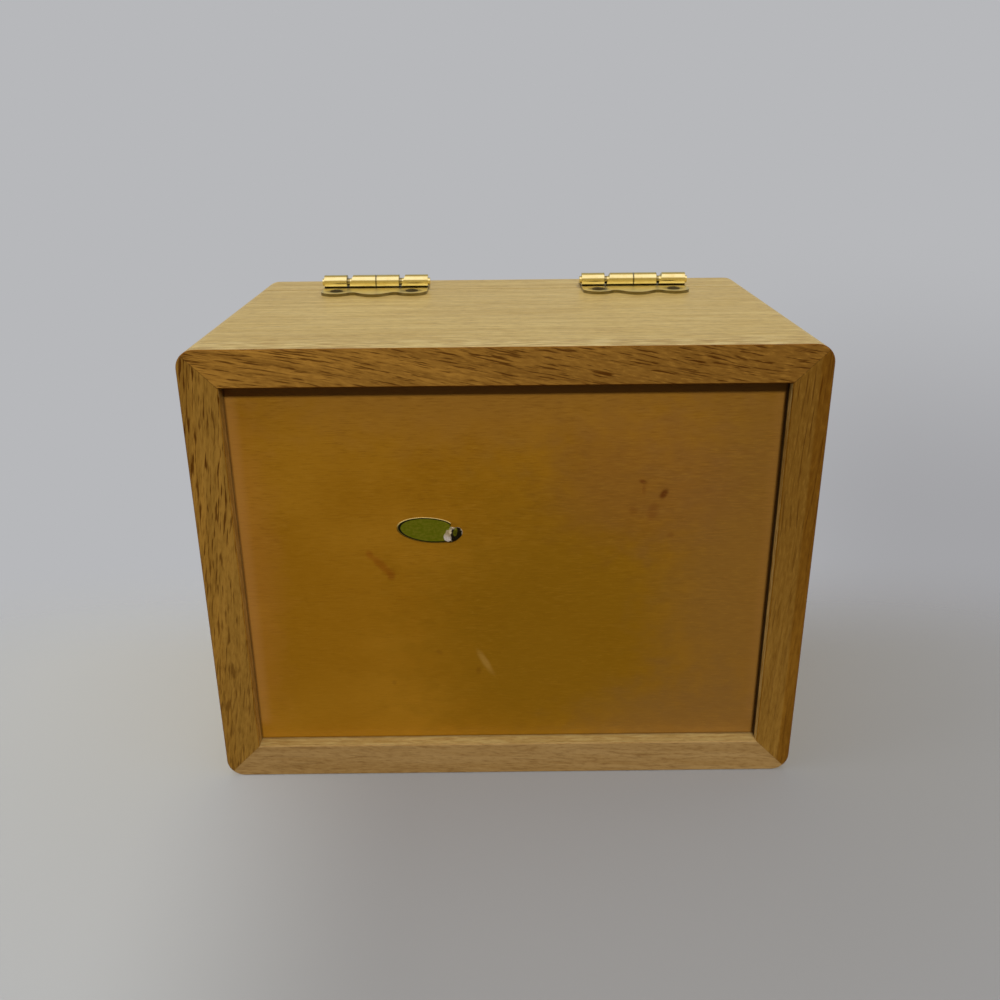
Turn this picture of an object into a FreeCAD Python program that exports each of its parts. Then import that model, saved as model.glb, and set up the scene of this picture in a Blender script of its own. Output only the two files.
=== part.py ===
import FreeCAD, Part
import math
import os

# Keepsake box with a hinged lid: mitred wooden walls, grooved panels and two stamped brass hinges.
# All lengths are millimetres. The box stands upright with its lid closed: +Z is up, +Y is the hinge
# side and +X is to the right of someone who faces the front. The origin lies on the table, under
# the middle of the footprint, with the hinge barrels counted in the footprint.

# Case
box_width = 140.0
box_depth = 108.0
body_height = 74.5
lid_height = 18.5
wall = 8.5
corner_radius = 4.2
lid_round_over = 3.0
arris = 0.25

# Bottom panel
panel_recess = 3.7
panel_thickness = 3.0

# Grooves that hold both panels
groove_depth = 4.0
groove_end_gap = 0.5
groove_slack = 0.2

# Lid panel: a tongue in the groove, and a field that rises between the rails
lid_lip = 3.2
tongue_thickness = 3.0
field_drop = 1.2
field_gap = 0.6
field_ease = 0.6

# Hinges
hinge_length = 29.0
hinge_inset = 34.1
hinge_shift = 0.7
leaf_thickness = 0.8
leaf_reach = 11.2
lobe_radius = 4.2
waist_reach = 8.0
point_reach = 13.8
point_round = 4.0
waist_round = 1.5
barrel_radius = 1.9
barrel_clearance = 0.3
knuckle_gap = 0.2
knuckle_notch = 1.5
pin_radius = 1.0
pin_clearance = 0.05
pin_end = 0.5
knuckle_shares = (0.275, 0.225, 0.275, 0.225)

# Hinge screws
screw_shank_radius = 0.95
screw_cover = 1.5
screw_clearance = 0.05

# Sticker under the bottom panel
sticker_length = 15.2
sticker_width = 6.2
sticker_thickness = 0.15
sticker_tilt = 6.0
sticker_place_shares = (0.144, 0.118)

# How far each cutting shape runs past what it cuts, and how close two points count as one place
overrun = 2.0
same_place = 0.001

# Counts, angles and directions
body_knuckles = (1, 3)
lid_knuckles = (0, 2)
below, above = -1, 1
full_turn = 360.0
along = FreeCAD.Vector(1, 0, 0)
back = FreeCAD.Vector(0, 1, 0)
up = FreeCAD.Vector(0, 0, 1)
outward = {"front": (0, -1), "back": (0, 1), "left": (-1, 0), "right": (1, 0)}

# Places that follow from the sizes
half_width = box_width / 2
half_depth = box_depth / 2
inner_half_width = half_width - wall
inner_half_depth = half_depth - wall
axis_out = barrel_radius + barrel_clearance
case_y = -(axis_out + barrel_radius) / 2
back_y = case_y + half_depth
axis_y = back_y + axis_out
seam_z = body_height
top_z = body_height + lid_height
hinge_half = hinge_length / 2
hinge_out = half_width - hinge_inset
hinge_places = {"left": -hinge_out - hinge_shift, "right": hinge_out - hinge_shift}
screw_out = hinge_half - lobe_radius
screw_reach = leaf_reach - lobe_radius
screw_head_radius = screw_shank_radius + leaf_thickness
screw_top_y = back_y + leaf_thickness
screw_tip_y = back_y - wall + screw_cover


def block(low, high):
    """A box between two corners."""
    return Part.makeBox(high[0] - low[0], high[1] - low[1], high[2] - low[2], FreeCAD.Vector(*low))


def plan_block(half_x, half_y, z_low, z_high):
    """A box that is centred on the case in plan."""
    return block((-half_x, case_y - half_y, z_low), (half_x, case_y + half_y, z_high))


def prism(points, height):
    """A flat outline of points, pushed straight up."""
    closed = points + points[:1]
    return Part.Face(Part.makePolygon(closed)).extrude(up * height)


def upright_edges(shape):
    """The edges of a shape that run straight up."""
    return [edge for edge in shape.Edges if edge.tangentAt(edge.FirstParameter).isParallel(up, same_place)]


def level_edges(shape, z):
    """The edges of a shape that lie flat at one height."""
    return [edge for edge in shape.Edges if all(abs(v.Z - z) < same_place for v in edge.Vertexes)]


def inner_edges(edges):
    """Those of some edges that lie on the inner faces of the walls."""
    def inside(vertex):
        return (abs(vertex.X) < inner_half_width + same_place
                and abs(vertex.Y - case_y) < inner_half_depth + same_place)
    return [edge for edge in edges if all(inside(vertex) for vertex in edge.Vertexes)]


def rounded_block(z_low, z_high):
    """A solid block on the case's plan, with round corners."""
    shape = plan_block(half_width, half_depth, z_low, z_high)
    return shape.makeFillet(corner_radius, upright_edges(shape))


def hollowed(shape, z_low, z_high):
    """A block on the case's plan made into a ring of walls."""
    return shape.cut(plan_block(inner_half_width, inner_half_depth, z_low - overrun, z_high + overrun))


def groove(z_low, z_high):
    """The room that a panel's groove takes out of the four walls."""
    return plan_block(inner_half_width + groove_depth, inner_half_depth + groove_depth, z_low, z_high)


def mitre_wedge(side, z_low, z_high):
    """A prism over one side of the case, cut off at 45 degrees through its two corners."""
    out_x, out_y = outward[side]
    half_out = half_width if out_x else half_depth
    half_along = half_depth if out_x else half_width
    deep = wall + overrun
    corners = [
        (-half_along - overrun, half_out + overrun),
        (half_along + overrun, half_out + overrun),
        (half_along - deep, half_out - deep),
        (deep - half_along, half_out - deep),
    ]
    points = [
        FreeCAD.Vector(out_x * out + abs(out_y) * run, case_y + out_y * out + abs(out_x) * run, z_low)
        for run, out in corners
    ]
    return prism(points, z_high - z_low)


def mitred_boards(ring, z_low, z_high):
    """The four boards that a ring is made of, by side."""
    return {side: ring.common(mitre_wedge(side, z_low, z_high)) for side in outward}


def floating_panel(z_low, z_high):
    """A panel that reaches into its groove on all four sides."""
    tongue = groove_depth - groove_end_gap
    return plan_block(inner_half_width + tongue, inner_half_depth + tongue, z_low, z_high)


def raised_panel(z_low, z_tongue, z_field):
    """A panel with a thin tongue all round and a thicker field with eased edges inside the rails."""
    field = plan_block(inner_half_width - field_gap, inner_half_depth - field_gap, z_low, z_field)
    field = field.makeFillet(field_ease, level_edges(field, z_field))
    return floating_panel(z_low, z_tongue).fuse(field).removeSplitter()


def turned(x, z, stations):
    """A shape turned about a line through the back of the case, from (radius, y) stations."""
    points = [FreeCAD.Vector(x + radius, y, z) for radius, y in stations]
    profile = Part.Face(Part.makePolygon(points + points[:1]))
    return profile.revolve(points[0], back, full_turn)


def screw(x, z):
    """A flush countersunk screw, driven into the back of the case."""
    return turned(x, z, [
        (0, screw_tip_y),
        (screw_shank_radius, screw_tip_y),
        (screw_shank_radius, back_y),
        (screw_head_radius, screw_top_y),
        (0, screw_top_y),
    ])


def screw_room(x, z):
    """The hole in the wood and the countersink in the leaf that a screw sits in."""
    hole_radius = screw_shank_radius + screw_clearance
    sink_radius = screw_head_radius + screw_clearance
    return turned(x, z, [
        (0, screw_tip_y),
        (hole_radius, screw_tip_y),
        (hole_radius, back_y),
        (sink_radius, screw_top_y),
        (sink_radius, screw_top_y + overrun),
        (0, screw_top_y + overrun),
    ])


def screw_places(centre_x, level):
    """Where the two screws of one leaf stand, along the hinge and up."""
    z = seam_z + level * screw_reach
    return [(centre_x - screw_out, z), (centre_x + screw_out, z)]


def knuckle_span(centre_x, index):
    """The two ends of one knuckle's share of the hinge."""
    low = centre_x - hinge_half + sum(knuckle_shares[:index]) * hinge_length
    return low, low + knuckle_shares[index] * hinge_length


def through_edges(plate, places):
    """The edges that run through a plate's thickness at some places along the hinge."""
    edges = [edge for edge in plate.Edges if edge.tangentAt(edge.FirstParameter).isParallel(back, same_place)]
    return [edge for edge in edges if any(abs(edge.Vertexes[0].X - x) < same_place for x in places)]


def leaf_plate(centre_x, level):
    """The flat of a leaf: a round lobe about each screw and a blunt point between them."""
    def at(x, reach):
        return FreeCAD.Vector(centre_x + x, back_y, seam_z + level * reach)

    waist_out = screw_out - math.sqrt(lobe_radius ** 2 - (waist_reach - screw_reach) ** 2)
    point = at(0, point_reach)
    edges = [Part.LineSegment(at(hinge_half, 0), at(-hinge_half, 0))]
    for hand in (-1, 1):
        shoulder = at(hand * hinge_half, screw_reach)
        waist = at(hand * waist_out, waist_reach)
        edges.append(Part.LineSegment(at(hand * hinge_half, 0), shoulder))
        edges.append(Part.Arc(shoulder, at(hand * screw_out, leaf_reach), waist))
        edges.append(Part.LineSegment(waist, point))
    wire = Part.Wire(Part.__sortEdges__([edge.toShape() for edge in edges]))
    plate = Part.Face(wire).extrude(back * leaf_thickness)
    plate = plate.makeFillet(point_round, through_edges(plate, [centre_x]))
    return plate.makeFillet(waist_round, through_edges(plate, [centre_x - waist_out, centre_x + waist_out]))


def knuckle_room(centre_x, index, level):
    """What a leaf gives up so that the other leaf's knuckle can turn past it."""
    low, high = knuckle_span(centre_x, index)
    set_back = math.sqrt(axis_out ** 2 - (axis_out - leaf_thickness) ** 2)
    z_ends = sorted((seam_z - level * overrun, seam_z + level * set_back))
    return block(
        (low - knuckle_gap / 2, back_y - overrun, z_ends[0]),
        (high + knuckle_gap / 2, back_y + leaf_thickness + overrun, z_ends[1]),
    )


def barrel(centre_x, index):
    """One knuckle of the barrel, before it is bored."""
    low, high = knuckle_span(centre_x, index)
    start = FreeCAD.Vector(low + knuckle_gap / 2, axis_y, seam_z)
    return Part.makeCylinder(barrel_radius, high - low - knuckle_gap, start, along)


def notch_wedge(centre_x, index):
    """The slanting cut that shortens the outer side of a knuckle at its right-hand end."""
    end_x = knuckle_span(centre_x, index)[1] - knuckle_gap / 2
    slope = knuckle_notch / (2 * barrel_radius)
    low_y = axis_y - barrel_radius - overrun
    high_y = axis_y + barrel_radius + overrun
    floor_z = seam_z - barrel_radius - overrun
    points = [
        FreeCAD.Vector(end_x + slope * overrun, low_y, floor_z),
        FreeCAD.Vector(end_x - knuckle_notch - slope * overrun, high_y, floor_z),
        FreeCAD.Vector(end_x + barrel_radius + overrun, high_y, floor_z),
        FreeCAD.Vector(end_x + barrel_radius + overrun, low_y, floor_z),
    ]
    return prism(points, 2 * (barrel_radius + overrun))


def hinge_leaf(centre_x, level, own_knuckles):
    """A leaf on the back of the case, with its own knuckles rolled round the pin."""
    leaf = leaf_plate(centre_x, level)
    for index in range(len(knuckle_shares)):
        if index not in own_knuckles:
            leaf = leaf.cut(knuckle_room(centre_x, index, level))
    for index in own_knuckles:
        knuckle = barrel(centre_x, index)
        if level == above:
            knuckle = knuckle.cut(notch_wedge(centre_x, index))
        leaf = leaf.fuse(knuckle)
    bore_start = FreeCAD.Vector(centre_x - hinge_half - overrun, axis_y, seam_z)
    leaf = leaf.cut(Part.makeCylinder(pin_radius + pin_clearance, hinge_length + 2 * overrun, bore_start, along))
    for x, z in screw_places(centre_x, level):
        leaf = leaf.cut(screw_room(x, z))
    return leaf.removeSplitter()


def hinge_pin(centre_x):
    """The pin, which ends just past each end of the barrel."""
    start = FreeCAD.Vector(centre_x - hinge_half - pin_end, axis_y, seam_z)
    return Part.makeCylinder(pin_radius, hinge_length + 2 * pin_end, start, along)


def sticker():
    """A thin oval on the underside of the bottom panel, a little askew."""
    x = sticker_place_shares[0] * 2 * inner_half_width
    y = case_y + sticker_place_shares[1] * 2 * inner_half_depth
    centre = FreeCAD.Vector(x, y, panel_recess)
    oval = Part.Ellipse(centre, sticker_length / 2, sticker_width / 2)
    plate = Part.Face(Part.Wire(oval.toShape())).extrude(-up * sticker_thickness)
    plate.rotate(centre, up, sticker_tilt)
    return plate


def body_parts():
    """The four walls and the bottom panel."""
    ring = hollowed(rounded_block(0, seam_z), 0, seam_z)
    ring = ring.makeChamfer(arris, level_edges(ring, 0) + level_edges(ring, seam_z))
    panel_top = panel_recess + panel_thickness
    ring = ring.cut(groove(panel_recess, panel_top + groove_slack))
    parts = {f"{side}_wall": board for side, board in mitred_boards(ring, 0, seam_z).items()}
    parts["bottom_panel"] = floating_panel(panel_recess, panel_top)
    return parts


def lid_parts():
    """The four rails of the lid and the panel between them."""
    cap = rounded_block(seam_z, top_z)
    ring = hollowed(cap.makeFillet(lid_round_over, level_edges(cap, top_z)), seam_z, top_z)
    ring = ring.makeChamfer(arris, level_edges(ring, seam_z) + inner_edges(level_edges(ring, top_z)))
    groove_top = top_z - lid_lip
    tongue_top = groove_top - groove_slack
    panel_low = tongue_top - tongue_thickness
    ring = ring.cut(groove(panel_low, groove_top))
    parts = {f"lid_{side}_rail": rail for side, rail in mitred_boards(ring, seam_z, top_z).items()}
    parts["lid_panel"] = raised_panel(panel_low, tongue_top, top_z - field_drop)
    return parts


def hinge_parts(hand, centre_x):
    """One hinge: two leaves, the pin and the screws of each leaf."""
    parts = {f"{hand}_hinge_pin": hinge_pin(centre_x)}
    for name, level, own_knuckles in (("body", below, body_knuckles), ("lid", above, lid_knuckles)):
        screws = [screw(x, z) for x, z in screw_places(centre_x, level)]
        parts[f"{hand}_hinge_{name}_leaf"] = hinge_leaf(centre_x, level, own_knuckles)
        parts[f"{hand}_hinge_{name}_screws"] = Part.makeCompound(screws)
    return parts


def drill_for_screws(board, level):
    """A back board with the holes that the hinge screws sit in."""
    for centre_x in hinge_places.values():
        for x, z in screw_places(centre_x, level):
            board = board.cut(screw_room(x, z))
    return board


def main():
    os.makedirs("parts", exist_ok=True)
    parts = {**body_parts(), **lid_parts()}
    parts["back_wall"] = drill_for_screws(parts["back_wall"], below)
    parts["lid_back_rail"] = drill_for_screws(parts["lid_back_rail"], above)
    for hand, centre_x in hinge_places.items():
        parts.update(hinge_parts(hand, centre_x))
    parts["foil_sticker"] = sticker()
    for name, shape in parts.items():
        shape.exportStep(f"parts/{name}.step")


main()
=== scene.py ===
"""Looks for a keepsake box: its wood, plywood, brass and foil, the screw heads, a crumpled sticker,
plain studio light, and a camera that looks at the underside of the box as it lies on its front wall."""
import math

import bmesh
import bpy
from mathutils import Matrix, Vector


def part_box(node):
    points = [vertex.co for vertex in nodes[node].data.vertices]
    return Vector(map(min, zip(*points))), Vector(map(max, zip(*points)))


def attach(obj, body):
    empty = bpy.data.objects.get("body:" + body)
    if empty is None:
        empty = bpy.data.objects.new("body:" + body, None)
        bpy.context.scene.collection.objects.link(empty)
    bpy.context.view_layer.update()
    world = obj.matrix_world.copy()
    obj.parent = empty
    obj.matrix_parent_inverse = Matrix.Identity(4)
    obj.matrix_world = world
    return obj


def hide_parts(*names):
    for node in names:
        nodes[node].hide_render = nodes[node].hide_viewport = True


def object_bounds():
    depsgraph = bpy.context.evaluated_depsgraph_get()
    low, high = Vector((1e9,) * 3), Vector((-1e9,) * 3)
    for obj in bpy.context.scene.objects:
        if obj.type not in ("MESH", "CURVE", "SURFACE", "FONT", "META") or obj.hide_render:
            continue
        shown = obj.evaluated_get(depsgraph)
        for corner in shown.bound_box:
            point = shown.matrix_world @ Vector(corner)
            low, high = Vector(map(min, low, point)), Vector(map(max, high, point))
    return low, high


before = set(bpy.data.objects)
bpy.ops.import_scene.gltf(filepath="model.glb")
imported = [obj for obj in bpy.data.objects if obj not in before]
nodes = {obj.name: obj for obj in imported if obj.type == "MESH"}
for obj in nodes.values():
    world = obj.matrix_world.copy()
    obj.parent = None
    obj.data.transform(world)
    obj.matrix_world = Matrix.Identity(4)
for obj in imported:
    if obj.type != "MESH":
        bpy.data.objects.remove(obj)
cad_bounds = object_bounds()
mm = 0.001

# Places taken from the frame
case_low = Vector((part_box("left_wall")[0].x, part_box("front_wall")[0].y))
case_high = Vector((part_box("right_wall")[1].x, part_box("back_wall")[1].y))
case_centre = (case_low + case_high) / 2
half_width = (case_high.x - case_low.x) / 2
half_depth = (case_high.y - case_low.y) / 2
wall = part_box("front_wall")[1].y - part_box("front_wall")[0].y
panel_low, panel_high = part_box("bottom_panel")

# Camera, worked out from the edges of the box in the photograph
camera_place = Vector((2.31, 97.46, -203.24)) * mm
camera_ahead = Vector((-0.0038, -0.3666, 0.9304))
camera_up = Vector((-0.0102, 0.9303, 0.3666))
focal_pixels = 978.25
image_pixels = 1000
sensor_width = 36.0

# Light: a level of 1 shows a colour as it is written
ambient_tone, ambient_level = (1.0, 0.72, 0.42, 1.0), 0.06
lamps = {
    "key_lamp": {"towards": (-0.12, 0.64, -0.768), "level": 0.63, "angle": 7},
    "overhead_lamp": {"towards": (0.0, 1.0, 0.0), "level": 0.405, "angle": 70},
    "side_lamp": {"towards": (0.95, 0.25, -0.12), "level": 0.22, "angle": 40},
    "front_lamp": {"towards": (0.0, -0.6, 0.8), "level": 0.85, "angle": 60},
    "left_lamp": {"towards": (-0.85, -0.3, 0.45), "level": 0.45, "angle": 60},
    "right_lamp": {"towards": (0.85, -0.3, 0.45), "level": 0.45, "angle": 60},
}


def colour(red, green, blue):
    """The linear colour that shaders take, from screen values of 0 to 255."""
    def linear(value):
        share = value / 255
        return share / 12.92 if share <= 0.04045 else ((share + 0.055) / 1.055) ** 2.4
    return (linear(red), linear(green), linear(blue), 1.0)


backdrop = colour(183, 184, 187)
shaded_backdrop = colour(163, 163, 166)
lying_floor_shade_tones = (colour(156, 156, 156), colour(187, 189, 189))
mirrored_backdrop = colour(165, 163, 155)
dark_room = colour(60, 56, 50)
low_room = colour(178, 157, 104)
window_tone = (1.20, 1.08, 1.02, 1.0)


class Nodes:
    """A node tree, with short calls for the maps that the finishes below are made of."""

    def __init__(self, tree):
        self.tree = tree

    def feed(self, socket, value):
        """Links a socket to another one, or sets its own value."""
        if isinstance(value, bpy.types.NodeSocket):
            self.tree.links.new(value, socket)
        else:
            socket.default_value = value

    def node(self, kind, inputs, **settings):
        made = self.tree.nodes.new(kind)
        for key, value in settings.items():
            setattr(made, key, value)
        for key, value in inputs.items():
            self.feed(made.inputs[key], value)
        return made

    def coordinates(self, kind):
        return self.node("ShaderNodeTexCoord", {}).outputs[kind]

    def split(self, vector):
        return self.node("ShaderNodeSeparateXYZ", {"Vector": vector}).outputs

    def join(self, x, y, z):
        return self.node("ShaderNodeCombineXYZ", {"X": x, "Y": y, "Z": z}).outputs["Vector"]

    def math(self, operation, *values):
        return self.node("ShaderNodeMath", dict(enumerate(values)), operation=operation).outputs["Value"]

    def shifted(self, vector, offset):
        inputs = {0: vector, 1: offset}
        return self.node("ShaderNodeVectorMath", inputs, operation="ADD").outputs["Vector"]

    def stretched(self, vector, sizes, spin=(0, 0, 0)):
        """Coordinates turned by spin, in which one unit is as long as the sizes say."""
        inputs = {"Vector": vector, "Rotation": spin, "Scale": sizes}
        return self.node("ShaderNodeMapping", inputs, vector_type="TEXTURE").outputs["Vector"]

    def noise(self, vector, detail=2.0, roughness=0.5):
        inputs = {"Vector": vector, "Scale": 1.0, "Detail": detail, "Roughness": roughness}
        return self.node("ShaderNodeTexNoise", inputs).outputs["Fac"]

    def step(self, value, start, end, low=0.0, high=1.0):
        """A smooth step from low at start to high at end."""
        inputs = {"Value": value, "From Min": start, "From Max": end, "To Min": low, "To Max": high}
        return self.node("ShaderNodeMapRange", inputs, interpolation_type="SMOOTHSTEP").outputs["Result"]

    def mix(self, share, one, two, blend="MIX"):
        made = self.node("ShaderNodeMix", {}, data_type="RGBA", blend_type=blend)
        for socket, value in zip((made.inputs[0], made.inputs[6], made.inputs[7]), (share, one, two)):
            self.feed(socket, value)
        return made.outputs[2]

    def bump(self, height, depth, strength=1.0):
        inputs = {"Height": height, "Distance": depth, "Strength": strength}
        return self.node("ShaderNodeBump", inputs).outputs["Normal"]

    def length(self, vector):
        return self.node("ShaderNodeVectorMath", {0: vector}, operation="LENGTH").outputs["Value"]

    def product(self, *values):
        """The values multiplied together."""
        total = values[0]
        for value in values[1:]:
            total = self.math("MULTIPLY", total, value)
        return total


class Finish(Nodes):
    """A material with one shader."""

    def __init__(self, name):
        self.material = bpy.data.materials.new(name)
        self.material.use_nodes = True
        super().__init__(self.material.node_tree)
        self.shader = self.tree.nodes["Principled BSDF"]

    def surface(self, **inputs):
        """Sets the shader's sockets; an underscore in a name stands for a space."""
        for key, value in inputs.items():
            self.feed(self.shader.inputs[key.replace("_", " ")], value)

    def underside(self):
        """1 on the faces that look down at the bottom of the case, 0 on the others."""
        down = self.step(self.split(self.coordinates("Normal"))["Z"], -0.30, -0.60)
        height = self.split(self.coordinates("Object"))["Z"]
        low = self.step(height, panel_low.z + 4 * mm, panel_low.z + 2 * mm)
        return self.product(down, low)

    def from_outside(self, place):
        """How far a point is from the sides of the case, from its ends, and from the nearer of the two."""
        x, y, z = self.split(self.shifted(place, (-case_centre.x, -case_centre.y, 0)))
        from_side = self.math("SUBTRACT", half_width, self.math("ABSOLUTE", x))
        from_end = self.math("SUBTRACT", half_depth, self.math("ABSOLUTE", y))
        return from_side, from_end, self.math("MINIMUM", from_side, from_end)


# Boards: how each wall and the lid's rail above it look. Angles are in degrees and sizes in millimetres.
# A run is an axis, two places along it, and the shares there.
# Painted light and shade: the recess share, its tint and the dark line along the panel set how bright the
# inner faces below the bottom panel are.
boards = {
    # The fade darkens the lower faces towards one end; on the back board it paints the falloff of the light.
    "back": {
        "turn": 0, "slope": 11, "seed": (0.0, 0.0, 0.0), "fade": ("X", 70, -70, 0.0, 0.9),
        "recess": 1.0, "recess_painted_shading": (0.82, 0.65, 0.35, 1.0), "gap_shade": (1.6, 0.9), "outer_band": 0.0,
        "pore_size": (5.0, 0.34), "pore_start": 0.59, "pore_depth": ("X", 70, -70, 0.82, 1.0),
        "under_light": colour(194, 141, 58), "under_dark": colour(140, 97, 35),
    },
    "right": {
        "turn": 90, "slope": 7, "seed": (0.31, 0.17, 0.05), "fade": ("Y", 20, -60, 0.0, 0.5),
        "recess": 0.5, "recess_painted_shading": (1.12, 1.08, 1.0, 1.0), "gap_shade": (1.0, 0.5), "outer_band": 0.15,
        "pore_size": (5.6, 0.44), "pore_start": 0.59, "pore_depth": ("Y", -45, 40, 0.58, 0.96),
        "under_light": colour(178, 132, 55), "under_dark": colour(144, 105, 39),
    },
    "left": {
        "turn": 90, "slope": 3, "seed": (0.53, 0.41, 0.11), "fade": ("Y", -50, 30, 0.0, 0.9),
        "recess": 0.0, "recess_painted_shading": (0.96, 0.92, 0.86, 1.0), "gap_shade": (1.6, 0.97), "outer_band": 0.7,
        "pore_size": (14.0, 0.50), "pore_start": 0.61, "pore_depth": ("Y", -45, 40, 0.40, 0.72),
        "under_light": colour(166, 123, 51), "under_dark": colour(132, 92, 29),
    },
    "front": {
        "turn": 0, "slope": 4, "seed": (0.23, 0.71, 0.37), "fade": ("X", -70, 70, 0.0, 0.3),
        "recess": 0.7, "recess_painted_shading": (0.92, 0.97, 1.0, 1.0), "gap_shade": (0.6, 0.3), "outer_band": 0.1,
        "pore_size": (5.0, 0.90), "pore_start": 0.60, "pore_depth": ("X", -70, 70, 0.17, 0.17),
        "under_light": colour(186, 150, 95), "under_dark": colour(164, 127, 73),
    },
}
face_light = colour(213, 186, 114)
face_dark = colour(182, 151, 79)
pore_colour = colour(84, 44, 0)
fleck_colour = colour(102, 56, 0)
streak_colour = colour(158, 122, 58)
pale_streak = colour(226, 202, 136)
edge_wear_and_shade_colour = colour(104, 62, 10)
glue_colour = colour(60, 34, 10)
gap_shade_colour = colour(24, 8, 2)
outer_tint = colour(222, 200, 112)


def pores(finish, fibre, from_outside, board):
    """Ragged dark dashes along the fibres, in clusters, closer together towards the outer edge."""
    length, width = board["pore_size"]
    grain = finish.noise(finish.stretched(fibre, (length, width, width)), 2.5, 0.5)
    clusters = finish.noise(finish.stretched(fibre, (22, 3.0, 3.0)))
    crowd = finish.math("MULTIPLY_ADD", clusters, 0.10, grain)
    crowd = finish.math("ADD", crowd, finish.step(from_outside, wall, 0.0, 0.0, 0.03))
    return finish.step(crowd, board["pore_start"], board["pore_start"] + 0.14)


def recess_face(finish, place, from_outside):
    """1 on the walls' inner faces below the bottom panel, 0 elsewhere."""
    inside = finish.step(from_outside, wall - 0.4 * mm, wall - 0.1 * mm)
    below = finish.step(finish.split(place)["Z"], panel_low.z + 0.2 * mm, panel_low.z)
    return finish.product(inside, below)


def eased_corner(finish):
    """1 on the eased corners along the lower edges of a board, 0 on its flat faces."""
    height = finish.split(finish.coordinates("Normal"))["Z"]
    return finish.product(finish.step(height, -0.15, -0.35), finish.step(height, -0.97, -0.88))


def along(finish, place, run):
    """A share that changes along a run."""
    axis, start, end, low, high = run
    return finish.step(finish.split(place)[axis], start * mm, end * mm, low, high)


def board_fibre(finish, place, underside, board):
    """Millimetres along and across the fibres, which slant over the lower edge of the board."""
    slant = finish.math("MULTIPLY_ADD", underside, math.radians(board["slope"]), math.radians(board["turn"]))
    seeded = finish.shifted(place, board["seed"])
    fibre = finish.stretched(seeded, (mm, mm, mm), finish.join(0.0, 0.0, slant))
    drift = finish.noise(finish.stretched(fibre, (60, 14, 14)))
    return finish.shifted(fibre, finish.join(0.0, finish.product(drift, 4.0), drift))


def grain_tone(finish, place, fibre, streaks, flecks, lower, board):
    """The wood's tone: bands, streaks and clouds, a darkening of the lower faces towards one end, which on
    the back board paints the falloff of the light, and fine flecks.
    """
    bands = finish.noise(finish.stretched(fibre, (60, 2.4, 2.4)), 3.0, 0.6)
    clouds = finish.noise(finish.stretched(place, (30 * mm, 24 * mm, 24 * mm)), 2.0)
    light = finish.mix(lower, face_light, board["under_light"])
    dark = finish.mix(lower, face_dark, board["under_dark"])
    tone = finish.mix(finish.step(bands, 0.32, 0.68, 0.0, 0.8), light, dark)
    tone = finish.mix(finish.step(streaks, 0.46, 0.66, 0.0, 0.8), tone, dark)
    tone = finish.mix(finish.step(clouds, 0.40, 0.70, 0.0, 0.25), tone, dark)
    # Darker towards one end of the lower faces; on the back board this is painted falloff of light
    tone = finish.mix(finish.product(along(finish, place, board["fade"]), lower), tone, dark)
    tone = finish.mix(finish.step(flecks, 0.48, 0.72, 0.0, 0.30), tone, fleck_colour)
    return finish.mix(finish.step(flecks, 0.50, 0.30, 0.0, 0.40), tone, light)


def outer_streaks(finish, place, fibre, lower, tone):
    """A tone with coarser streaks on the outer faces, close to their lower edge."""
    coarse = finish.noise(finish.stretched(fibre, (6.0, 1.0, 1.0)), 3.0, 0.6)
    near_edge = finish.step(finish.split(place)["Z"], 13 * mm, 2 * mm)
    outer = finish.product(near_edge, finish.math("SUBTRACT", 1.0, lower))
    dark_share = finish.product(finish.step(coarse, 0.50, 0.62, 0.0, 0.75), outer)
    pale_share = finish.product(finish.step(coarse, 0.49, 0.40, 0.0, 0.65), outer)
    return finish.mix(pale_share, finish.mix(dark_share, tone, streak_colour), pale_streak)


def mitre_line(finish, place, flecks, from_side, from_end):
    """How strongly the glue shows along the mitres."""
    from_mitre = finish.math("ABSOLUTE", finish.math("SUBTRACT", from_side, from_end))
    return finish.product(
        finish.step(from_mitre, 0.20 * mm, 0.05 * mm, 0.0, 0.60), finish.step(flecks, 0.35, 0.60, 0.2, 1.0),
        finish.step(finish.split(place)["Y"], -20 * mm, 20 * mm, 0.2, 1.0),
    )


def recess_tone(finish, place, inner, board, tone):
    """A tone with painted light and shade on the inner face below the bottom panel, and a dark line of
    painted shade along the panel's edge.
    """
    # Painted light and shade: the inner face is tinted per board, darker on the back board and lighter on the
    # right one
    tone = finish.mix(inner, tone, board["recess_painted_shading"], "MULTIPLY")
    # Painted shade: a dark line on the inner face, next to the panel's edge
    gap_shade_height, gap_shade_share = board["gap_shade"]
    gap_shade_start, gap_shade_end = panel_low.z - gap_shade_height * mm, panel_low.z - 0.8 * gap_shade_height * mm
    gap_shade = finish.step(finish.split(place)["Z"], gap_shade_start, gap_shade_end, 0.0, gap_shade_share)
    return finish.mix(finish.product(inner, gap_shade), tone, gap_shade_colour)


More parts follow.
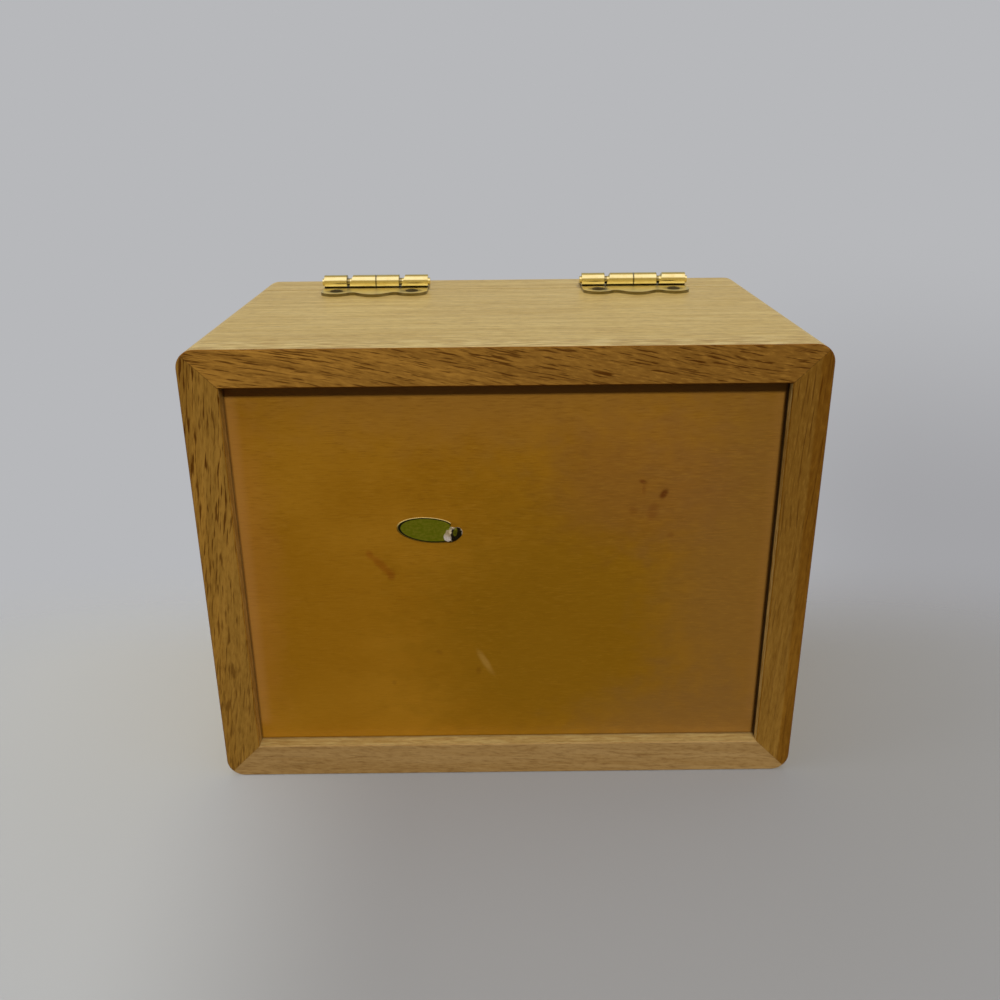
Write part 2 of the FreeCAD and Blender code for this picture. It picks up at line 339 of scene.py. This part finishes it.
def wood(name, board):
    """Lacquered open-pored wood: tone bands, fine fibres and pores that follow the board's length."""
    finish = Finish(name)
    place = finish.coordinates("Object")
    from_side, from_end, from_outside = finish.from_outside(place)
    underside = finish.underside()
    inner = recess_face(finish, place, from_outside)
    # Painted light and shade: the recess share sets how far the inner faces below the panel take the darker
    # palette of the lower edge instead of the lighter face palette
    lower = finish.math("MAXIMUM", underside, finish.product(inner, board["recess"]))
    fibre = board_fibre(finish, place, underside, board)
    streaks = finish.noise(finish.stretched(fibre, (16, 0.8, 0.8)), 4.0, 0.65)
    flecks = finish.noise(finish.stretched(fibre, (2.2, 0.50, 0.50)), 2.0, 0.6)
    holes = pores(finish, fibre, from_outside, board)
    tone = grain_tone(finish, place, fibre, streaks, flecks, lower, board)
    tone = outer_streaks(finish, place, fibre, lower, tone)

    # Lines of the case: the darkened outer edge, the pores, the eased corners darkened as painted shade and
    # worn lacquer, and the glued mitres
    band = finish.product(finish.step(from_outside, 3.2 * mm, 2.5 * mm, 0.0, board["outer_band"]), underside)
    tone = finish.mix(band, tone, outer_tint, "MULTIPLY")
    depth = along(finish, place, board["pore_depth"])
    depth = finish.product(depth, finish.step(underside, 0.0, 1.0, 0.18, 1.0))
    tone = finish.mix(finish.product(holes, depth), tone, pore_colour)
    # Painted shade and worn lacquer: the eased corners are darkened, most near the outer edge
    eased = eased_corner(finish)
    wear_and_shade = finish.step(from_outside, 3 * mm, 5 * mm, 0.6, 0.15)
    tone = finish.mix(finish.product(eased, wear_and_shade), tone, edge_wear_and_shade_colour)
    tone = finish.mix(mitre_line(finish, place, flecks, from_side, from_end), tone, glue_colour)

    relief = finish.math("SUBTRACT", finish.product(streaks, 0.25), holes)
    finish.surface(
        Base_Color=recess_tone(finish, place, inner, board, tone),
        Roughness=finish.step(streaks, 0.3, 0.7, 0.34, 0.44),
        Normal=finish.bump(relief, 0.03 * mm, 0.6),
        Specular_IOR_Level=finish.step(eased, 0.0, 0.5, 0.5, 0.1),
        Coat_Weight=finish.step(eased, 0.0, 0.5, 0.15, 0.0), Coat_Roughness=0.16,
    )
    return finish.material


# Marks on the underside of the bottom panel: centre, length and width in millimetres, angle in degrees. The
# broad ones, lighter towards +X and darker towards -X, partly paint the falloff of the light.
stains_and_falloff = (
    {"at": (62.0, 0.0), "size": (26.0, 120.0), "angle": 0, "tint": colour(184, 122, 52), "strength": 0.35},
    {"at": (-14.0, -18.0), "size": (100.0, 120.0), "angle": 0, "tint": colour(136, 95, 8), "strength": 0.80},
    {"at": (-58.0, 0.0), "size": (64.0, 170.0), "angle": 0, "tint": colour(137, 97, 42), "strength": 0.75},
    {"at": (0.0, 46.0), "size": (170.0, 50.0), "angle": 0, "tint": colour(160, 112, 46), "strength": 0.60},
    {"at": (-46.0, -46.0), "size": (80.0, 44.0), "angle": 0, "tint": colour(135, 97, 48), "strength": 0.55},
    {"at": (-31.0, 20.0), "size": (62.0, 46.0), "angle": 0, "tint": colour(139, 92, 46), "strength": 0.45},
    {"at": (29.5, 0.1), "size": (8.6, 2.8), "angle": 48, "tint": colour(140, 72, 8), "strength": 0.50},
    {"at": (27.1, -2.8), "size": (2.6, 3.2), "angle": 0, "tint": colour(128, 62, 4), "strength": 0.50},
    {"at": (31.9, 2.8), "size": (2.4, 3.2), "angle": 0, "tint": colour(140, 72, 8), "strength": 0.45},
    {"at": (-35.8, 17.0), "size": (3.8, 2.3), "angle": 120, "tint": colour(92, 40, 4), "strength": 0.85},
    {"at": (-30.9, 20.0), "size": (2.8, 1.5), "angle": 20, "tint": colour(104, 50, 12), "strength": 0.75},
    {"at": (-31.2, 18.2), "size": (1.4, 3.6), "angle": 0, "tint": colour(118, 62, 18), "strength": 0.40},
    {"at": (-33.5, 12.6), "size": (7.0, 3.4), "angle": 106, "tint": colour(116, 62, 18), "strength": 0.40},
    {"at": (-29.0, 12.8), "size": (2.8, 3.8), "angle": 0, "tint": colour(122, 70, 12), "strength": 0.35},
    {"at": (-37.9, 6.8), "size": (2.4, 1.8), "angle": 0, "tint": colour(116, 62, 16), "strength": 0.30},
    {"at": (5.5, -26.1), "size": (10.5, 2.4), "angle": 61, "tint": colour(190, 148, 72), "strength": 0.40},
    {"at": (7.0, -28.8), "size": (1.8, 2.6), "angle": 0, "tint": colour(112, 66, 4), "strength": 0.40},
    {"at": (16.4, -23.5), "size": (2.4, 1.6), "angle": 30, "tint": colour(116, 70, 14), "strength": 0.30},
    {"at": (27.7, -31.9), "size": (2.2, 1.6), "angle": 80, "tint": colour(116, 70, 14), "strength": 0.30},
)
panel_light = colour(166, 115, 22)
panel_dark = colour(156, 106, 14)
panel_streak = colour(116, 72, 8)
panel_fleck = colour(186, 136, 48)
panel_bounce_light = colour(188, 136, 74)
panel_corner_shade = colour(40, 18, 6)
panel_inside = colour(194, 156, 90)


def with_stains_and_falloff(finish, place, underside, tone):
    """A tone with the marks of use on it, and broad tints that partly paint the falloff of the light."""
    spread = finish.noise(finish.stretched(place, (5 * mm, 4 * mm, 4 * mm)), 3.0)
    warp = finish.math("MULTIPLY_ADD", spread, 0.9, 0.55)
    for tint_spot in stains_and_falloff:
        x, y = tint_spot["at"]
        length, width = tint_spot["size"]
        offset = finish.shifted(place, (-x * mm, -y * mm, -panel_low.z))
        sizes = (length / 2 * mm, width / 2 * mm, wall)
        reach = finish.length(finish.stretched(offset, sizes, (0, 0, math.radians(tint_spot["angle"]))))
        mark = finish.step(finish.product(reach, warp), 1.0, 0.25, 0.0, tint_spot["strength"])
        tone = finish.mix(finish.product(mark, underside), tone, tint_spot["tint"])
    return tone


def plywood(name):
    """Varnished plywood with a fine level grain, uneven tone, the marks of use on its underside with a
    painted falloff of light, and painted bounce light and painted shade along the walls.
    """
    finish = Finish(name)
    place = finish.coordinates("Object")
    underside = finish.underside()
    fibre = finish.stretched(place, (mm, mm, mm))
    clouds = finish.noise(finish.stretched(fibre, (34, 22, 22)), 3.0)
    streaks = finish.noise(finish.stretched(fibre, (2.6, 0.30, 0.30)), 2.0, 0.5)
    fibres = finish.noise(finish.stretched(fibre, (2.4, 0.14, 0.14)), 2.0)
    flecks = finish.noise(finish.stretched(fibre, (1.6, 0.30, 0.30)), 1.0)

    tone = finish.mix(finish.step(clouds, 0.36, 0.66), panel_light, panel_dark)
    # Marks of use, with broad tints that partly paint the falloff of light
    tone = with_stains_and_falloff(finish, place, underside, tone)
    tone = finish.mix(underside, panel_inside, tone)
    patchy = finish.step(finish.noise(finish.stretched(fibre, (9, 6, 6)), 2.0), 0.35, 0.65, 0.14, 0.26)
    patchy = finish.product(patchy, finish.step(finish.split(place)["Y"], -40 * mm, 30 * mm, 0.60, 1.20))
    tone = finish.mix(finish.product(finish.step(streaks, 0.52, 0.70), patchy), tone, panel_streak)
    pale = finish.step(streaks, 0.48, 0.32, 0.0, 0.65)
    tone = finish.mix(finish.product(pale, patchy), tone, panel_fleck)
    tone = finish.mix(finish.step(flecks, 0.66, 0.74, 0.0, 0.16), tone, panel_fleck)

    # Painted bounce light from the walls along the panel's edge, stronger towards +X, and painted shade in
    # the corner with them
    from_outside = finish.from_outside(place)[2]
    wall_bounce_light = finish.product(
        finish.step(from_outside, wall + 3.5 * mm, wall + 1.0 * mm),
        finish.step(finish.split(place)["X"], -40 * mm, 60 * mm, 0.10, 0.32),
        finish.step(finish.split(place)["Y"], -45 * mm, -41 * mm),
    )
    tone = finish.mix(wall_bounce_light, tone, panel_bounce_light)
    # Painted shade in the corner along the walls
    corner_shade = finish.step(from_outside, wall + 0.45 * mm, wall + 0.1 * mm, 0.0, 0.5)
    tone = finish.mix(corner_shade, tone, panel_corner_shade)

    finish.surface(
        Base_Color=tone, Roughness=finish.step(fibres, 0.3, 0.7, 0.40, 0.54),
        Normal=finish.bump(finish.math("ADD", streaks, fibres), 0.02 * mm, 0.5),
        Coat_Weight=0.10, Coat_Roughness=0.25,
    )
    return finish.material


brass_bright = colour(246, 234, 174)
brass_dull = colour(226, 206, 126)
tarnish_and_shade_colour = colour(50, 36, 8)
pin_low, pin_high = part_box("left_hinge_pin")
pin_centre = (pin_low + pin_high) / 2
barrel_reach = 1.9 * mm
# Knuckle joints along the pin, as shares of its length, each with a half width for the painted shade there
knuckle_joints = ((0.2758, 0.20 * mm), (0.5, 0.0), (0.7591, 0.20 * mm))


def screw_spots():
    """The middle of each hinge screw's head."""
    spots = []
    for hand in ("left", "right"):
        for part in ("body", "lid"):
            low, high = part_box(f"{hand}_hinge_{part}_screws")
            radius = (high.z - low.z) / 2
            for x in (low.x + radius, high.x - radius):
                spots.append(Vector((x, high.y, (low.z + high.z) / 2)))
    return spots


def sheared_edge(finish, off_barrel):
    """1 on the cut edges of a hinge's leaves, which are duller than their faces and barrels."""
    across = finish.math("ABSOLUTE", finish.split(finish.coordinates("Normal"))["Y"])
    return finish.product(finish.step(across, 0.5, 0.2), off_barrel)


def tarnish_and_shade_share(finish, place):
    """How far brass is darkened: its duller cut edges, partly painted shade, and painted shade round the
    screws, in the crease under the barrel, on the barrel's lower side and at the knuckle joints.
    """
    height = finish.math("SUBTRACT", finish.split(place)["Z"], pin_centre.z)
    from_pin = finish.math("ABSOLUTE", height)
    off_barrel = finish.step(from_pin, barrel_reach + 0.2 * mm, barrel_reach + 0.5 * mm)
    depth = finish.math("SUBTRACT", pin_centre.y, finish.split(place)["Y"])
    under_barrel = finish.step(from_pin, barrel_reach + 0.2 * mm, barrel_reach - 0.2 * mm)
    # Painted shade in the crease under the barrel
    crease = finish.product(finish.step(depth, 0.8 * mm, 1.2 * mm), under_barrel)
    # The cut edges are duller, and their darkening partly paints shade
    cut_edge = finish.product(sheared_edge(finish, off_barrel), 0.75)
    total = finish.math("MAXIMUM", cut_edge, finish.product(crease, 0.8))
    on_barrel = finish.step(from_pin, barrel_reach + 0.1 * mm, barrel_reach)
    # Painted shade on the barrel's lower side
    low_side = finish.product(finish.step(depth, 0.2 * mm, 0.8 * mm, 0.0, 0.12), on_barrel)
    total = finish.math("MAXIMUM", total, low_side)
    # Painted shade at the knuckle joints
    for low, high in (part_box("left_hinge_pin"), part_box("right_hinge_pin")):
        for share, half_gap in knuckle_joints:
            joint = low.x + share * (high.x - low.x)
            from_joint = finish.math("ABSOLUTE", finish.math("SUBTRACT", finish.split(place)["X"], joint))
            joint_shade = finish.step(from_joint, half_gap + 0.34 * mm, half_gap + 0.12 * mm, 0.0, 0.60)
            total = finish.math("MAXIMUM", total, finish.product(joint_shade, on_barrel))
    # Painted shade round each screw
    for spot in screw_spots():
        reach = finish.length(finish.shifted(place, tuple(-spot)))
        total = finish.math("MAXIMUM", total, finish.step(reach, 3.5 * mm, 1.9 * mm, 0.0, 0.62))
    return total


def brass(name, dullness):
    """Polished brass with faint drawing marks, duller patches and tarnished spots, and painted shade in its
    crevices and round the screws.
    """
    finish = Finish(name)
    place = finish.coordinates("Object")
    fibre = finish.stretched(place, (mm, mm, mm))
    marks = finish.noise(finish.stretched(fibre, (6.0, 0.25, 0.25)), 2.0)
    patches = finish.noise(finish.stretched(fibre, (2.6, 1.6, 1.6)), 3.0, 0.6)
    specks = finish.noise(finish.stretched(fibre, (0.7, 0.5, 0.5)), 2.0)
    spots = finish.step(specks, 0.60, 0.74, 0.0, dullness)
    tone = finish.mix(finish.step(patches, 0.40, 0.70, 0.0, 0.3 + dullness), brass_bright, brass_dull)
    # Darkened at tarnished spots and where shade is painted
    tone = finish.mix(finish.math("MAXIMUM", spots, tarnish_and_shade_share(finish, place)), tone, tarnish_and_shade_colour)

    # Leaves are brushed, barrels are polished
    from_pin = finish.math("ABSOLUTE", finish.math("SUBTRACT", finish.split(place)["Z"], pin_centre.z))
    handled = finish.step(from_pin, barrel_reach, barrel_reach + 0.4 * mm, 0.0, 0.18)
    polish = finish.step(patches, 0.35, 0.70, 0.10 + dullness / 5, 0.20 + dullness / 4)
    finish.surface(
        Base_Color=finish.mix(dullness ** 2, tone, tarnish_and_shade_colour), Metallic=1.0,
        Roughness=finish.math("ADD", polish, handled),
        Normal=finish.bump(marks, 0.008 * mm, 0.3),
    )
    return finish.material


def foil(name, centre, sizes, angle):
    """Green-gold foil with a black border line and a rim painted pale on its upper side as a highlight; on
    its crumpled end, the paper backing with painted shade, and a pale ridge and a dark facet painted as
    highlight and shade.
    """
    finish = Finish(name)
    place = finish.coordinates("Object")
    oval = finish.stretched(finish.shifted(place, tuple(-centre)), (*sizes, 1.0), (0, 0, angle))
    s, t, lift = finish.split(oval)
    flat = finish.join(s, t, 0.0)
    ring = finish.length(flat)
    scuffs = finish.noise(finish.stretched(place, (0.8 * mm, 0.5 * mm, 0.5 * mm)), 3.0)

    def patch(at, radii):
        """1 inside an oval spot with a ragged edge, which is given in shares of the sticker's own oval."""
        reach = finish.length(finish.stretched(finish.shifted(flat, (-at[0], -at[1], 0.0)), (*radii, 1.0)))
        return finish.step(finish.math("MULTIPLY_ADD", scuffs, 0.5, reach), 1.35, 1.15)

    crumpled_end = finish.step(finish.math("MULTIPLY_ADD", t, -0.12, s), 0.52, 0.60)
    border = finish.product(finish.step(ring, 0.870, 0.895), finish.step(ring, 0.965, 0.945))
    tone = finish.mix(finish.step(scuffs, 0.35, 0.70), colour(112, 117, 10), colour(130, 127, 30))
    # Painted highlight: the rim is pale on its upper side and dark gold below
    upper = finish.step(finish.split(place)["Y"], centre.y + 0.4 * mm, centre.y + 2.4 * mm)
    rim = finish.mix(upper, colour(140, 100, 40), colour(226, 200, 128))
    tone = finish.mix(finish.step(ring, 0.955, 0.975), tone, rim)
    tone = finish.mix(border, tone, colour(22, 20, 10))
    paper = finish.math("MAXIMUM", patch((0.56, -0.40), (0.12, 0.36)), patch((0.55, -0.05), (0.06, 0.26)))
    # On the crumpled end: a pale outline painted as the highlight along its ridge, a dark facet painted as
    # shade, and a green patch of foil
    for at, radii, paint in (
        ((0.78, -0.05), (0.24, 0.72), colour(206, 190, 160)),
        ((0.81, -0.15), (0.17, 0.66), colour(34, 28, 12)),
        ((0.78, 0.12), (0.06, 0.34), colour(112, 112, 16)),
    ):
        tone = finish.mix(finish.product(patch(at, radii), crumpled_end), tone, paint)
    # Painted shade: the paper backing is darker towards its upper side
    paper_with_shade = finish.mix(finish.step(t, -0.1, -0.6), colour(168, 150, 116), colour(224, 212, 202))
    tone = finish.mix(paper, tone, paper_with_shade)
    finish.surface(
        Base_Color=tone, Metallic=finish.step(paper, 0.1, 0.5, 0.35, 0.0),
        Roughness=finish.step(scuffs, 0.3, 0.7, 0.30, 0.45), Normal=finish.bump(scuffs, 0.03 * mm, 0.4),
    )
    return finish.material


def dress(material, *names):
    """Gives CAD nodes their finish."""
    for name in names:
        slots = nodes[name].data.materials
        slots.clear()
        slots.append(material)


def dress_case():
    for side, board in boards.items():
        dress(wood(f"{side}_board", board), f"{side}_wall", f"lid_{side}_rail")
    lid_board = dict(boards["back"], seed=(0.83, 0.29, 0.61))
    dress(wood("lid_board", lid_board), "lid_panel")
    dress(plywood("underside_plywood"), "bottom_panel")


def dress_hinges():
    hinge_metal = brass("hinge_metal", 0.10)
    pin_metal = brass("pin_metal", 0.10)
    for hand in ("left", "right"):
        dress(hinge_metal, f"{hand}_hinge_body_leaf", f"{hand}_hinge_lid_leaf")
        dress(pin_metal, f"{hand}_hinge_pin")


# Screw heads: the crown over the flush head, and the cross cut into it
crown_height = 0.42 * mm
crown_rings = 6
screw_sides = 40
cross_width = 0.42 * mm
cross_length = 2.3 * mm
cross_depth = 0.75 * mm
shank_share = 0.54
first_turn, next_turn = 25, 40


def skin(mesh, rings):
    """Faces between each ring of points and the next; a ring may be a single point."""
    for low, high in zip(rings, rings[1:]):
        count = max(len(low), len(high))
        for index in range(count):
            after = (index + 1) % count
            corners = [low[index % len(low)], low[after % len(low)]]
            corners += [high[after % len(high)], high[index % len(high)]]
            mesh.faces.new(list(dict.fromkeys(corners)))
    bmesh.ops.recalc_face_normals(mesh, faces=mesh.faces)


def ring_turns(share, count):
    """Angles of the points in a ring; a ring without a radius is a single point."""
    return [math.tau * index / count for index in range(count)] if share else [0.0]


def revolved(stations, sides):
    """A closed mesh turned about its Y axis, from (radius, height) stations that start and end on it."""
    mesh = bmesh.new()
    rings = []
    for radius, height in stations:
        turns = ring_turns(radius, sides)
        places = [(radius * math.cos(turn), height, radius * math.sin(turn)) for turn in turns]
        rings.append([mesh.verts.new(place) for place in places])
    skin(mesh, rings)
    return mesh


def bar(size):
    """A box of the given size about the origin."""
    mesh = bmesh.new()
    bmesh.ops.create_cube(mesh, size=1.0, matrix=Matrix.Diagonal((*size, 1.0)))
    return mesh


def new_object(name, mesh):
    """An object in the scene that takes over a bmesh."""
    data = bpy.data.meshes.new(name)
    mesh.to_mesh(data)
    mesh.free()
    made = bpy.data.objects.new(name, data)
    bpy.context.scene.collection.objects.link(made)
    return made


def settled(made):
    """Applies an object's modifiers to its mesh."""
    depsgraph = bpy.context.evaluated_depsgraph_get()
    data = bpy.data.meshes.new_from_object(made.evaluated_get(depsgraph))
    made.modifiers.clear()
    made.data = data


def screw_mesh(radius, length):
    """One screw about the origin, with its flush rim at height 0, a low crown and a cross recess."""
    shank = radius * shank_share
    crown = [
        (radius * math.cos(turn), crown_height * math.sin(turn))
        for turn in (math.pi / 2 * index / crown_rings for index in range(crown_rings))
    ]
    profile = [(0, -length), (shank, -length), (shank, shank - radius), *crown, (0, crown_height)]
    screw = new_object("screw", revolved(profile, screw_sides))
    cutters = []
    for size in ((cross_length, cross_depth, cross_width), (cross_width, cross_depth, cross_length)):
        cutter = new_object("cross", bar(size))
        cutter.location.y = crown_height
        cutters.append(cutter)
        cut = screw.modifiers.new("cross", "BOOLEAN")
        cut.object = cutter
    settled(screw)
    for cutter in cutters:
        bpy.data.objects.remove(cutter)
    return screw


def screw_pairs():
    """Every hinge screw, in the pairs that the leaves have."""
    # Screw heads nearly take the dark brown: partly tarnished brass, partly painted shade of their recesses
    metal = brass("screw_metal", 0.9)
    for hand in ("left", "right"):
        for body, part in (("box", "body"), ("lid", "lid")):
            node = f"{hand}_hinge_{part}_screws"
            low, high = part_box(node)
            radius = (high.z - low.z) / 2
            pair = bmesh.new()
            screw = screw_mesh(radius, high.y - low.y)
            for index, x in enumerate((low.x + radius, high.x - radius)):
                turn = Matrix.Rotation(math.radians(first_turn + next_turn * index), 4, "Y")
                spot = Matrix.Translation((x, high.y, (low.z + high.z) / 2))
                copy = screw.data.copy()
                copy.transform(spot @ turn)
                pair.from_mesh(copy)
            bpy.data.objects.remove(screw)
            made = new_object(f"{hand}_{part}_screw_heads", pair)
            made.data.materials.append(metal)
            made.data.shade_smooth()
            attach(made, body)
            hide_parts(node)


# Sticker: how it is divided, and the fold at its end as shares of its half length
sticker_spokes = 96
sticker_rings = 28
fold_height = 1.0 * mm
fold_start, fold_ridge, fold_end = 0.40, 0.72, 0.97
notch_depth, notch_turn, notch_width = 0.22, math.radians(40), math.radians(7)


def outline(turn):
    """How far the foil's edge reaches, as a share of the oval; it is drawn in beside the fold."""
    return 1 - notch_depth * math.exp(-((turn - notch_turn) / notch_width) ** 2)


def fold_lift(s, t):
    """How far the foil stands off the panel, from its place along and across the oval in shares."""
    ridge = fold_ridge + 0.08 * t + 0.03 * math.sin(7 * t)
    rise = (s - fold_start) / (ridge - fold_start) if s < ridge else (fold_end - s) / (fold_end - ridge)
    fade = max(0.0, 1 - abs(t - 0.10) ** 3)
    return fold_height * fade * max(0.0, rise) ** 1.3 * (1 + 0.15 * math.sin(23 * s + 9 * t))


def sticker():
    """An oval of foil on the panel, with its end crumpled up into a ridge."""
    low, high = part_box("foil_sticker")
    centre = (low + high) / 2
    spokes = [(vertex.co - centre).xy for vertex in nodes["foil_sticker"].data.vertices]
    longest = max(spokes, key=lambda spoke: spoke.length)
    along = longest if longest.x < 0 else -longest
    across = Vector((along.y, -along.x)).normalized() * min(spoke.length for spoke in spokes)

    def points(share, depth):
        reaches = [(share * outline(turn), turn) for turn in ring_turns(share, sticker_spokes)]
        shares = [(reach * math.cos(turn), reach * math.sin(turn)) for reach, turn in reaches]
        spots = [(centre.xy + along * s + across * t, fold_lift(s, t)) for s, t in shares]
        return [mesh.verts.new((spot.x, spot.y, high.z - depth - lift)) for spot, lift in spots]

    mesh = bmesh.new()
    steps = [ring / sticker_rings for ring in range(sticker_rings + 1)]
    face = [points(share, high.z - low.z) for share in steps]
    reverse = [points(share, 0.0) for share in reversed(steps)]
    skin(mesh, face + reverse)
    made = new_object("crumpled_sticker", mesh)
    finish = foil("sticker_face", centre, (along.length, -across.length), math.atan2(along.y, along.x))
    made.data.materials.append(finish)
    made.data.shade_smooth()
    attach(made, "box")
    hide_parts("foil_sticker")


# Stage: the surface under the lying box, for the photograph's view, and the one that the box stands on
stage_gap = 0.05 * mm
lying_reach, standing_reach = 0.26, 0.70
lying_end, standing_end = (0.13, 0.05), (1.0, 0.5)
stage_spokes = 64


def stage_finish(name, tones, reach, end):
    """A pale surface that is seen only from its front, keeps the shadow and fades out towards its rim."""
    finish = Finish(name)
    seen = finish.node("ShaderNodeLightPath", {}).outputs["Is Camera Ray"]
    geometry = finish.node("ShaderNodeNewGeometry", {}).outputs
    front = finish.math("SUBTRACT", 1.0, geometry["Backfacing"])
    x, y, z = finish.split(geometry["Position"])
    # Painted shade on the lying floor: darker except beyond +X; the standing floor is even
    tone = finish.mix(finish.step(x, 0.02, 0.09), *tones)
    inside = finish.step(finish.length(finish.coordinates("Object")), reach * 0.95, reach * 0.45)
    share = finish.product(seen, front, inside, finish.step(z, *end))
    clear = finish.node("ShaderNodeBsdfTransparent", {}).outputs["BSDF"]
    matt = finish.node("ShaderNodeBsdfDiffuse", {"Color": tone}).outputs["BSDF"]
    mixed = finish.node("ShaderNodeMixShader", {0: share, 1: clear, 2: matt}).outputs["Shader"]
    finish.feed(finish.tree.nodes["Material Output"].inputs["Surface"], mixed)
    finish.tree.nodes.remove(finish.shader)
    return finish.material


def stage_disc(name, place, facing, tones, reach, end):
    mesh = bmesh.new()
    bmesh.ops.create_circle(mesh, cap_ends=True, segments=stage_spokes, radius=reach)
    made = new_object(name, mesh)
    turn = Vector(facing).to_track_quat("Z", "Y").to_matrix().to_4x4()
    made.matrix_world = Matrix.Translation(place) @ turn
    made.data.materials.append(stage_finish(f"{name}_finish", tones, reach, end))


def build_stage():
    middle = (cad_bounds[0] + cad_bounds[1]) / 2
    under_front = (middle.x, cad_bounds[0].y - stage_gap, middle.z)
    under_base = (middle.x, middle.y, cad_bounds[0].z - stage_gap)
    stage_disc("lying_floor", under_front, (0, 1, 0), lying_floor_shade_tones, lying_reach, lying_end)
    stage_disc("standing_floor", under_base, (0, 0, 1), (backdrop, backdrop), standing_reach, standing_end)


def mirrored_room(studio):
    """What shiny pieces mirror: a window above the camera, the room below it, a backdrop behind the box."""
    x, y, z = studio.split(studio.coordinates("Generated"))
    climb = studio.math("DEGREES", studio.math("ARCTAN2", y, studio.math("MULTIPLY", z, -1.0)))
    window = studio.product(studio.step(climb, 25, 42), studio.step(climb, 108, 88))
    behind = studio.step(studio.math("ABSOLUTE", climb), 112, 140)
    room = studio.mix(studio.step(climb, -10, 2), dark_room, low_room)
    return studio.mix(behind, studio.mix(window, room, window_tone), mirrored_backdrop)


def build_world():
    """Even light for surfaces, and a pale surround for the camera."""
    world = bpy.data.worlds.new("studio")
    bpy.context.scene.world = world
    world.use_nodes = True
    studio = Nodes(world.node_tree)
    path = studio.node("ShaderNodeLightPath", {}).outputs
    x, y, z = studio.split(studio.coordinates("Generated"))
    shade = studio.product(studio.step(x, -0.10, -0.40), studio.step(y, -0.10, -0.36))
    plain = studio.mix(shade, backdrop, shaded_backdrop)
    shown = studio.mix(path["Is Glossy Ray"], plain, mirrored_room(studio))
    surround = studio.node("ShaderNodeBackground", {"Color": shown}).outputs["Background"]
    inputs = {"Color": ambient_tone, "Strength": ambient_level}
    light = studio.node("ShaderNodeBackground", inputs).outputs["Background"]
    seen = studio.math("MAXIMUM", path["Is Camera Ray"], path["Is Glossy Ray"])
    seen = studio.math("MAXIMUM", seen, path["Is Transmission Ray"])
    mixed = studio.node("ShaderNodeMixShader", {0: seen, 1: light, 2: surround}).outputs["Shader"]
    studio.feed(studio.tree.nodes["World Output"].inputs["Surface"], mixed)


def build_lamps():
    """Lamps that light surfaces; what shiny pieces mirror is the world's room instead."""
    for name, lamp in lamps.items():
        data = bpy.data.lights.new(name, "SUN")
        data.energy = lamp["level"] * math.pi
        data.angle = math.radians(lamp["angle"])
        made = bpy.data.objects.new(name, data)
        made.visible_glossy = False
        made.rotation_euler = Vector(lamp["towards"]).to_track_quat("Z", "Y").to_euler()
        bpy.context.scene.collection.objects.link(made)


def build_camera():
    data = bpy.data.cameras.new("photo_camera")
    data.sensor_width = sensor_width
    data.lens = sensor_width * focal_pixels / image_pixels
    data.clip_start = mm
    back = -camera_ahead.normalized()
    right = camera_up.cross(back).normalized()
    up = back.cross(right)
    made = bpy.data.objects.new("photo_camera", data)
    made.matrix_world = Matrix.Translation(camera_place) @ Matrix((right, up, back)).transposed().to_4x4()
    bpy.context.scene.collection.objects.link(made)
    bpy.context.scene.camera = made


dress_case()
dress_hinges()
screw_pairs()
sticker()
build_stage()
build_world()
build_lamps()
build_camera()
bpy.context.scene.view_settings.view_transform = "Standard"
